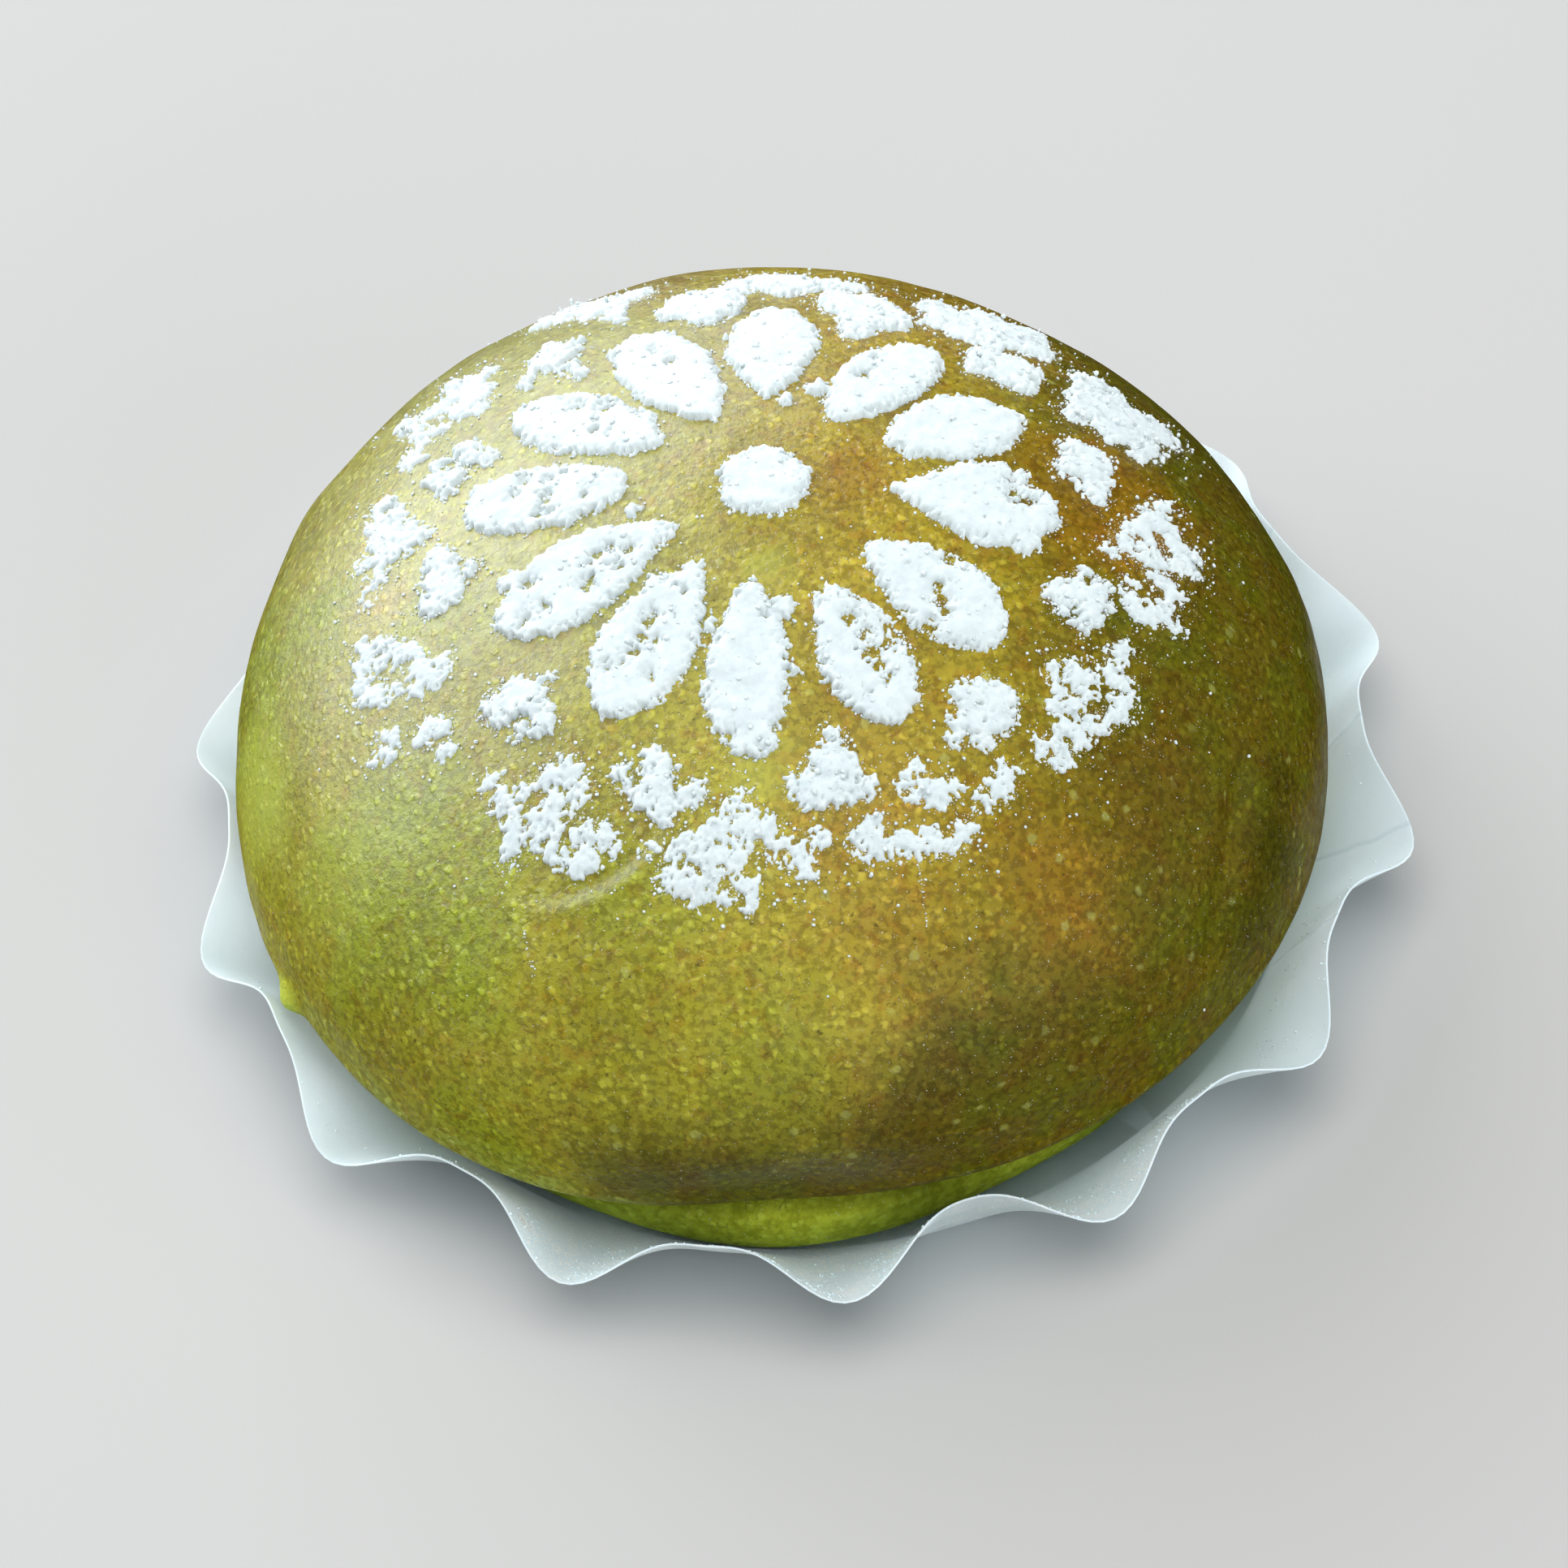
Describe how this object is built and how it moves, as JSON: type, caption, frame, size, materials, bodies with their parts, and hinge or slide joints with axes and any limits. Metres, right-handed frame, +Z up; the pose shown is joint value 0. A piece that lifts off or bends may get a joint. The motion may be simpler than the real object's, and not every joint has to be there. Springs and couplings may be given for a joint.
{
  "type": "bun",
  "caption": "Round baked sweet bun with a stencilled icing sugar rosette on its brown crust, resting in a shallow fluted white paper case.",
  "frame": {"origin": "on the table plane, at the middle of the paper case's rim", "axes": "+Z up out of the bun's top, -Y towards the viewer of the picture"},
  "size_m": [0.12, 0.1216, 0.0528],
  "materials": {
    "crust": "baked crust, semi-gloss, blistered",
    "sugar": "caked icing sugar, matte",
    "paper": "smooth white baking paper"
  },
  "bodies": {
    "root": {"bun": "crust", "paper_case": "paper"}
  },
  "joints": []
}
